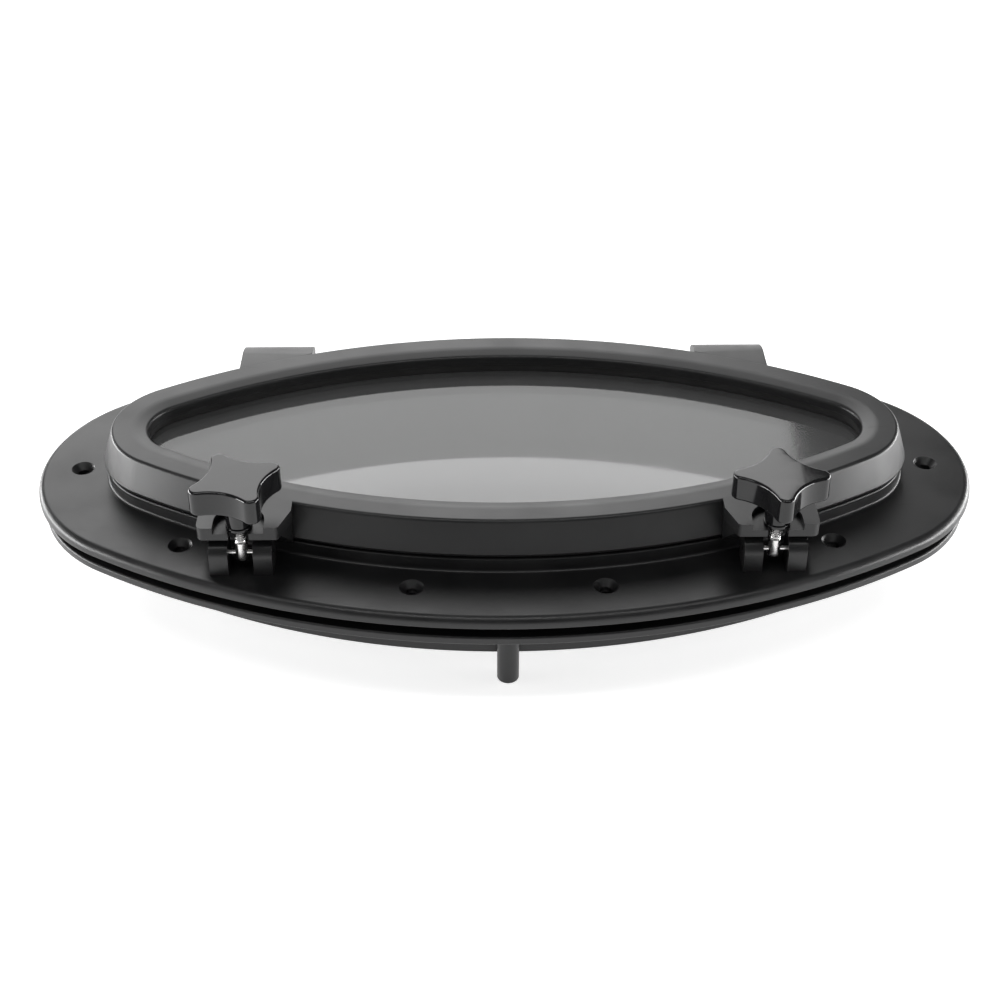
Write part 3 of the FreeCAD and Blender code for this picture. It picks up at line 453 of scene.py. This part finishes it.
def make_main_frame():
    ring = oval_sweep("main_frame_moulding", [
        (0.0, 0.0, 0.5),
        (0.0, FLANGE_TOP, 3.6),
        (UPSTAND_INSET, FLANGE_TOP, 1.2),
        (UPSTAND_INSET, UPSTAND_TOP, 0.8),
        (PORT_INSET, UPSTAND_TOP, 0.8),
        (PORT_INSET, SPIGOT_END, 0.6),
        (SPIGOT_INSET, SPIGOT_END, 0.6),
        (SPIGOT_INSET, 0.0, 0.8),
    ])
    lugs = []
    step = (LUG_GAP + LUG_WIDTH) / 2
    for sign in (-1, 1):
        for side in (-1, 1):
            lugs.append(lug("lug", sign * (DOG_X + side * step), DOG_Y, DOG_PIN_Z, DOG_REACH))
            lugs.append(lug("lug", sign * (HINGE_X + side * step), HINGE_Y, HINGE_Z, HINGE_REACH))
    combine(ring, lugs)
    hole, head = 2.75, 5.6
    sink = [
        (0, -2, 0),
        (hole, -2, 0),
        (hole, 2.7, 0),
        (head, 5.65, 0),
        (head + 0.3, 8, 0),
        (0, 8, 0),
    ]
    cutters = [turned("sink", sink, x, y, 40) for x, y in FIXING_PLACES]
    # the drain's slot runs under the upstand, from the opening to the tube
    slot_side, slot_front, slot_back = 2.5, -88.0, -74.0
    slot = [
        (-slot_side, slot_front),
        (slot_side, slot_front),
        (slot_side, slot_back),
        (-slot_side, slot_back),
    ]
    cutters.append(upright("drain_slot", slot, 1.65, 3.9))
    combine(ring, cutters, "DIFFERENCE")
    return finish_piece(ring, "frame", "main_frame", BLACK)


def make_clamp_ring():
    low, high = -10.0, -6.0
    outer, inner = 2.0, SPIGOT_INSET - 0.5
    ring = oval_sweep("clamp_ring_moulding", [
        (outer, low, 0.6),
        (outer, high, 1.2),
        (inner, high, 0.5),
        (inner, low, 0.5),
    ])
    cutters = drills("pilot", FIXING_PLACES, 1.6, low - 2, high + 2, 24)
    # the notch lets the drain tube through
    notch_radius, notch_back = DRAIN_RADIUS + 0.6, -74.0
    notch = arc((0, DRAIN_Y), notch_radius, math.pi, 2 * math.pi, 24)
    notch += [(notch_radius, notch_back), (-notch_radius, notch_back)]
    cutters.append(upright("notch", notch, low - 2, high + 2))
    combine(ring, cutters, "DIFFERENCE")
    return finish_piece(ring, "clamp_ring", "clamp_ring", BLACK)


def make_drain_tube():
    low, high = -53.0, 1.5
    tube = turned("drain_spout", [
        (DRAIN_BORE, low, 0.5),
        (DRAIN_RADIUS, low, 1.0),
        (DRAIN_RADIUS, high, 0),
        (DRAIN_BORE, high, 0),
    ], 0, DRAIN_Y)
    return finish_piece(tube, "frame", "drain_tube", BLACK)


# ---- the leaf ----


# the arms' roots end just under the leaf's sloping top, so the two surfaces run together
ROOT_INSET = 38.0
ROOT_TOP = 30.34
ROOT_STEPS = 10


def root_arc(x_from, x_to, inset, side, level):
    """The root of an arm at one level: the oval's own arc."""
    points = []
    for k in range(ROOT_STEPS + 1):
        x = x_from + (x_to - x_from) * k / ROOT_STEPS
        points.append((x, side_y(x, inset, side), min(level, ROOT_TOP)))
    return points


def arm_loop(x_low, x_high, far_y, inset, side, level, low_far=None):
    """One level of an arm: straight at its far end, which may start at low_far, and an arc at its root."""
    far_end = [(low_far or x_low, far_y, level), (x_high, far_y, level)]
    return far_end + root_arc(x_high, x_low, inset, side, level)


def make_fork():
    """The right-hand fork: a plate on two webs, with a seat for the washer and a slot for the bolt."""
    inner_x, outer_x = 94.2, 134.0
    front_inner_x, front_y = 99.0, -83.2
    underside = 24.1
    outline = rounded([
        (inner_x, -70.2, 0),
        (front_inner_x, front_y, 2.0),
        (outer_x, front_y, 3.0),
        (outer_x, -60.0, 0),
    ])
    plate_loops = []
    for level in (underside, CREST):
        front = [(p.x, p.y, level) for p in outline[:-1]]
        plate_loops.append(front + root_arc(outer_x, inner_x, ROOT_INSET, -1, level))
    fork = loft("fork", plate_loops)
    webs = []
    for x_low, x_high, low_far in ((inner_x, 101.8, 98.2), (130.6, outer_x, 130.6)):
        webs.append(loft("web", [
            arm_loop(x_low, x_high, -70.5, 33.0, -1, FOOT),
            arm_loop(x_low, x_high, -80.6, 36.2, -1, underside + 0.6, low_far),
        ]))
    combine(fork, webs)
    # the washer's seat, and the slot that the bolt swings out through
    cuts = []
    for half_width, floor in ((11.0, WASHER_SEAT), (4.5, 20.0)):
        edge = arc((DOG_X, DOG_Y), half_width, 0, math.pi, 32)
        edge += [(DOG_X - half_width, -90.0), (DOG_X + half_width, -90.0)]
        cuts.append(upright("channel", edge, floor, 34.0))
    combine(fork, cuts, "DIFFERENCE")
    return bevelled(fork, 0.45)


def make_hinge_tab():
    """The right-hand hinge tab and its knuckle."""
    half_width = 17.25
    loops = []
    # (far end, inset of the root, level), from the foot up over the sloping back
    profile = (
        (74.0, 33.0, FOOT),
        (82.0, 35.2, 22.3),
        (79.4, 35.8, 25.0),
        (75.0, 36.4, 27.6),
        (70.0, 37.0, 29.4),
        (64.0, ROOT_INSET, CREST),
    )
    for far_y, inset, level in profile:
        loops.append(arm_loop(HINGE_X + half_width, HINGE_X - half_width, far_y, inset, 1, level))
    tab = loft("hinge_tab", loops)
    bevelled(tab, 1.0, 4, 30)
    outline = [(68.0, 21.0), (74.0, 23.6)]
    outline += arc((HINGE_Y, HINGE_Z), HINGE_REACH, math.pi / 2, -math.pi / 2, 24)
    outline += [(73.0, 14.6), (69.0, 15.5)]
    knuckle_width = 10.4
    knuckle = bevelled(along_x("knuckle", outline, HINGE_X, knuckle_width), 0.5)
    bore = along_x("bore", circle((HINGE_Y, HINGE_Z), PIN_BORE), HINGE_X, knuckle_width + 3.6)
    combine(knuckle, [bore], "DIFFERENCE")
    return combine(tab, [knuckle])


def make_leaf_frame():
    groove_outer, groove_inner = 34.4, 38.6
    ledge_inset, rebate_inset = 40.8, 46.5
    ring = oval_sweep("leaf_moulding", [
        (LEAF_INSET, FOOT, 1.6),
        (36.8, CREST, 1.9),
        (47.0, CREST - 0.15, 14.0),
        (OPENING_INSET, 28.6, 2.0),
        (OPENING_INSET, LIP_UNDERSIDE, 0.3),
        (rebate_inset, LIP_UNDERSIDE, 0),
        (rebate_inset, PANE_BOTTOM, 0),
        (ledge_inset, PANE_BOTTOM, 0),
        (ledge_inset, FOOT, 0.3),
        (groove_inner, FOOT, 0.3),
        (groove_inner, GROOVE_TOP, 0),
        (groove_outer, GROOVE_TOP, 0),
        (groove_outer, FOOT, 0.3),
    ])
    for arm in (make_fork(), make_hinge_tab()):
        twin = mirrored(arm)
        combine(ring, [arm, twin])
    combine(ring, drills("screw_bore", SCREW_PLACES, 1.45, 14, 21), "DIFFERENCE")
    return finish_piece(ring, "leaf", "leaf_frame", BLACK)


def make_glass():
    edge = 0.4
    levels = ((PANE_BOTTOM, edge), (PANE_BOTTOM + edge, 0.0), (PANE_TOP - edge, 0.0), (PANE_TOP, edge))
    loops = []
    for level, draw_in in levels:
        loop = []
        for centre, out, radius in STATIONS:
            flat = centre + out * (radius - PANE_INSET - draw_in)
            loop.append((flat.x, flat.y, level))
        loops.append(loop)
    pane = loft("glass", loops)
    return finish_piece(pane, "leaf", "glass_pane", CLEAR)


def make_glass_bed():
    outer, inner = 46.9, 53.1
    bead = oval_sweep("glazing_bead", [
        (outer, PANE_TOP, 0.3),
        (inner, PANE_TOP, 0.8),
        (inner, LIP_UNDERSIDE, 0.3),
        (outer, LIP_UNDERSIDE, 0.3),
    ])
    return finish_piece(bead, "leaf", "glass_bed", SOFT)


def make_retainer():
    outer = 41.3
    ring = oval_sweep("retainer_ring", [
        (outer, RETAINER_FOOT, 0.6),
        (OPENING_INSET, RETAINER_FOOT, 0.8),
        (OPENING_INSET, PANE_BOTTOM, 0.3),
        (outer, PANE_BOTTOM, 0.3),
    ])
    combine(ring, drills("clearance", SCREW_PLACES, 1.46, 10, 17), "DIFFERENCE")
    return finish_piece(ring, "leaf", "glass_retainer", BLACK)


def make_seal():
    """A solid seal: a foot in the groove and a round nose that sits on the upstand."""
    outer, inner = 34.5, 38.5
    ring = oval_sweep("weather_seal", [
        (outer, GROOVE_TOP, 0.2),
        (outer, UPSTAND_TOP, 1.6),
        (inner, UPSTAND_TOP, 1.6),
        (inner, GROOVE_TOP, 0.2),
    ])
    return finish_piece(ring, "leaf", "leaf_seal", SOFT)


def make_retainer_screws():
    """All the retainer's screws as one piece: round heads with a cross cut in each."""
    head_radius, shank_radius, tip = 2.8, 1.4, 20.9
    head_low = RETAINER_FOOT - 1.6
    profile = [
        (0, head_low, 0),
        (head_radius, head_low, 0.7),
        (head_radius, RETAINER_FOOT, 0),
        (shank_radius, RETAINER_FOOT, 0),
        (shank_radius, tip, 0.3),
        (0, tip, 0),
    ]
    blade_length, blade_width = 1.7, 0.3
    corners = ((-blade_length, -blade_width), (blade_length, -blade_width),
               (blade_length, blade_width), (-blade_length, blade_width))
    whole = None
    for x, y in SCREW_PLACES:
        screw = turned("retainer_screws_detail", profile, x, y, 32)
        for turn in (35, 125):
            c, s = math.cos(math.radians(turn)), math.sin(math.radians(turn))
            blade = [(x + u * c - v * s, y + u * s + v * c) for u, v in corners]
            combine(screw, [upright("blade", blade, head_low - 0.7, head_low + 0.9)], "DIFFERENCE")
        if whole is None:
            whole = screw
            continue
        work = bmesh.new()
        work.from_mesh(whole.data)
        work.from_mesh(screw.data)
        work.to_mesh(whole.data)
        work.free()
        bpy.data.objects.remove(screw)
    return finish_piece(whole, "leaf", "retainer_screws", STEEL)


# ---- dogs, knobs and pins ----


def make_pin(node, x, y, z):
    """A pin across a pair of lugs, with its ends chamfered."""
    length = LUG_GAP + 2 * LUG_WIDTH
    chamfer = 0.4
    loops = []
    for along, radius in (
        (0.0, PIN_RADIUS - chamfer),
        (chamfer, PIN_RADIUS),
        (length - chamfer, PIN_RADIUS),
        (length, PIN_RADIUS - chamfer),
    ):
        loops.append([(x - length / 2 + along, py, pz) for py, pz in circle((y, z), radius)])
    return finish_piece(loft(f"{node}_rod", loops), "frame", node, STEEL)


def make_bolt(side, sign):
    """A swing bolt: a plain neck with the eye for its pin, and a helical M6 thread above."""
    pitch, crest, root = 1.0, 2.95, 2.40
    around, per_turn = 36, 12
    low, high = 20.4, 46.0
    # (radius, level) up the plain neck, then a ring of radii for each step up the thread
    neck = ((1.9, 10.4), (2.5, 10.7), (2.85, 11.3), (2.9, 12.5), (2.9, 19.6), (2.5, 20.2))
    rings = [([radius] * around, level) for radius, level in neck]
    rows = int((high - low) / pitch * per_turn)
    for r in range(rows + 1):
        level = low + (high - low) * r / rows
        ease = min(1.0, (level - low) / pitch, (high - level) / pitch)
        radii = []
        for k in range(around):
            phase = (level / pitch - k / around) % 1.0
            wave = min(1.0, max(0.0, 2.4 * abs(phase - 0.5) - 0.1))
            radii.append(root + (crest - root) * wave * ease)
        rings.append((radii, level))
    directions = circle((0, 0), 1.0, around)
    x, y = sign * DOG_X, DOG_Y
    loops = []
    for radii, level in rings:
        loops.append([(x + radius * c, y + radius * s, level) for radius, (c, s) in zip(radii, directions)])
    bolt = loft(f"swing_bolt_{side}_threaded", loops)
    eye = along_x("eye", circle((DOG_Y, DOG_PIN_Z), PIN_BORE), x, 12.0)
    combine(bolt, [eye], "DIFFERENCE")
    return finish_piece(bolt, f"dog_{side}", f"swing_bolt_{side}", STEEL)


def make_washer(side, sign):
    hole, rim = 3.2, 5.8
    washer = turned(f"thrust_washer_{side}_turned", [
        (hole, WASHER_SEAT, 0.15),
        (rim, WASHER_SEAT, 0.35),
        (rim, WASHER_TOP, 0.35),
        (hole, WASHER_TOP, 0.15),
    ], sign * DOG_X, DOG_Y)
    return finish_piece(washer, f"washer_{side}", f"thrust_washer_{side}", GLOSS)


def star_outline(draw_in):
    """A four-pointed star of tangent arcs, drawn in by a margin. Points are from the star's middle."""
    tip_reach, tip_radius, valley_reach = 20.8, 4.0, 13.0
    tip_middle = tip_reach - tip_radius
    short = valley_reach - tip_radius
    valley_middle = (tip_middle**2 - short**2) / (2 * (tip_middle * math.cos(math.pi / 4) - short))
    valley_radius = valley_middle - valley_reach + draw_in
    tip_radius -= draw_in
    between = Vector((valley_middle * math.cos(math.pi / 4), valley_middle * math.sin(math.pi / 4)))
    reach = (between - Vector((tip_middle, 0))).normalized()
    tip_turn = math.atan2(reach.y, reach.x)
    tip = arc((tip_middle, 0), tip_radius, -tip_turn, tip_turn, 13)[:-1]
    valley = arc(between, valley_radius, math.pi + tip_turn, 3 * math.pi / 2 - tip_turn, 16)[:-1]
    points = []
    for quarter in range(4):
        turn = Matrix.Rotation(-quarter * math.pi / 2, 2)
        points += [Vector(spot) @ turn for spot in tip + valley]
    return points


def make_knob(side, sign, turn):
    """A star knob turned by so many degrees, with its hub and the blind bore for the bolt."""
    x, y = sign * DOG_X, DOG_Y
    spin = Matrix.Rotation(-math.radians(turn), 2)
    round_over, steps = 1.3, 5
    # (level, how far the star is drawn in), rounded over at the foot and at the top
    rows = []
    turns = [math.pi / 2 * k / steps for k in range(steps + 1)]
    for angle in turns:
        rows.append((KNOB_FOOT + round_over * (1 - math.cos(angle)), round_over * (1 - math.sin(angle))))
    draft = 0.15
    for angle in turns:
        draw_in = draft + round_over * (1 - math.cos(angle))
        rows.append((KNOB_TOP - round_over * (1 - math.sin(angle)), draw_in))
    loops = []
    for level, draw_in in rows:
        star = [p @ spin for p in star_outline(draw_in)]
        loops.append([(x + p.x, y + p.y, level) for p in star])
    knob = loft(f"star_knob_{side}_moulded", loops)
    # the hub stands just clear of the washer, so the two faces aren't in one plane
    hub_foot, hub_end = WASHER_TOP + 0.02, 42.0
    hub = turned("hub", [
        (0, hub_foot, 0),
        (5.4, hub_foot, 0.5),
        (5.75, 36.0, 0),
        (6.2, 39.0, 0),
        (7.6, hub_end, 0),
        (0, hub_end, 0),
    ], x, y)
    combine(knob, [hub])
    wide, narrow, shoulder = 4.2, 3.0, 45.0
    bore = turned("bore", [
        (0, 28.0, 0),
        (wide, 28.0, 0),
        (wide, shoulder, 0),
        (narrow, shoulder, 0),
        (narrow, 49.5, 0),
        (0, 49.5, 0),
    ], x, y)
    combine(knob, [bore], "DIFFERENCE")
    return finish_piece(knob, f"knob_{side}", f"star_knob_{side}", GLOSS)


KNOB_TURN = {"left": 29, "right": -2}

make_main_frame()
make_clamp_ring()
make_drain_tube()
make_leaf_frame()
make_glass()
make_glass_bed()
make_retainer()
make_seal()
make_retainer_screws()
for side, sign in SIDES:
    make_pin(f"dog_pin_{side}", sign * DOG_X, DOG_Y, DOG_PIN_Z)
    make_pin(f"hinge_pin_{side}", sign * HINGE_X, HINGE_Y, HINGE_Z)
    make_bolt(side, sign)
    make_washer(side, sign)
    make_knob(side, sign, KNOB_TURN[side])
    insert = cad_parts[f"knob_insert_{side}"].data
    insert.materials.clear()
    insert.materials.append(BRASS)

# ---- floor, light and camera ----


FLOOR_HALF, FLOOR_GAP, FLOOR_GLOW = 30.0, 0.0005, 0.72


def make_floor():
    """A pale sheet just under the part, which glows a little so that it comes out white."""
    level = cad_box[0][2] - FLOOR_GAP
    corners = [(x * FLOOR_HALF, y * FLOOR_HALF, level) for x, y in ((-1, -1), (1, -1), (1, 1), (-1, 1))]
    mesh = bpy.data.meshes.new("floor")
    mesh.from_pydata(corners, [], [(0, 1, 2, 3)])
    floor = bpy.data.objects.new("floor", mesh)
    bpy.context.scene.collection.objects.link(floor)
    n = Nodes("floor_paper")
    shade = n.blend(n.spread(n.noise(300, 2), 0, 1), (0.86, 0.86, 0.86), (0.90, 0.90, 0.90))
    n.link(shade, n.shader.inputs["Base Color"])
    n.shader.inputs["Roughness"].default_value = 0.8
    n.shader.inputs["Emission Color"].default_value = (1, 1, 1, 1)
    n.shader.inputs["Emission Strength"].default_value = FLOOR_GLOW
    mesh.materials.append(n.material)


# name, azimuth, elevation, distance, width, height, radiance
SOFTBOXES = (
    ("back_softbox", -12, 36, 2.2, 1.9, 2.0, 2.75),
    ("back_low_strip", 0, 7, 1.6, 1.8, 0.28, 1.5),
    ("left_softbox", -84, 2, 1.05, 1.3, 0.28, 16.0),
    ("right_softbox", 84, 2, 1.05, 1.3, 0.26, 17.0),
    ("top_strip", 180, 68, 1.7, 2.2, 0.16, 8.0),
    ("front_left_strip", -140, 14, 2.0, 0.40, 0.8, 0.8),
    ("front_right_strip", 140, 14, 2.0, 0.40, 0.8, 0.4),
)
WORLD_STRENGTH = 0.12


def softbox(name, azimuth, elevation, distance, width, height, radiance):
    """An area light that faces the object from an azimuth (0 is +Y, clockwise from above) in degrees."""
    a, e = math.radians(azimuth), math.radians(elevation)
    place = Vector((math.sin(a) * math.cos(e), math.cos(a) * math.cos(e), math.sin(e))) * distance
    light = bpy.data.lights.new(name, "AREA")
    light.shape = "RECTANGLE"
    light.size, light.size_y = width, height
    light.energy = radiance * math.pi * width * height
    lamp = bpy.data.objects.new(name, light)
    lamp.location = place
    lamp.rotation_euler = place.to_track_quat("Z", "Y").to_euler()
    lamp.visible_camera = False
    bpy.context.scene.collection.objects.link(lamp)


def make_world(strength):
    world = bpy.data.worlds.new("studio")
    world.use_nodes = True
    back = world.node_tree.nodes["Background"]
    back.inputs["Color"].default_value = (1, 1, 1, 1)
    back.inputs["Strength"].default_value = strength
    bpy.context.scene.world = world


CAMERA_ELEVATION, CAMERA_YAW, CAMERA_ROLL = math.radians(35.3), -0.0149, 0.0019
CAMERA_TARGET = (-2.727, -28.673, 5.5)
CAMERA_DISTANCE = 800.08
SENSOR_MM, LENS_MM = 36.0, 62.31


def make_camera():
    """The camera at the photograph's viewing angle."""
    elevation, yaw, roll = CAMERA_ELEVATION, CAMERA_YAW, CAMERA_ROLL
    back = Vector((
        math.sin(yaw) * math.cos(elevation),
        -math.cos(yaw) * math.cos(elevation),
        math.sin(elevation),
    ))
    level = Vector((math.cos(yaw), math.sin(yaw), 0))
    up = back.cross(level)
    right = level * math.cos(roll) + up * math.sin(roll)
    camera = bpy.data.cameras.new("camera")
    camera.sensor_width = SENSOR_MM
    camera.lens = LENS_MM
    camera.clip_start = 0.01
    eye = bpy.data.objects.new("camera", camera)
    turn = Matrix((right, back.cross(right), back)).transposed().to_4x4()
    place = (Vector(CAMERA_TARGET) + back * CAMERA_DISTANCE) * MM
    eye.matrix_world = Matrix.Translation(place) @ turn
    bpy.context.scene.collection.objects.link(eye)
    bpy.context.scene.camera = eye


make_floor()
make_world(WORLD_STRENGTH)
for settings in SOFTBOXES:
    softbox(*settings)
make_camera()
bpy.context.scene.view_settings.view_transform = "Standard"
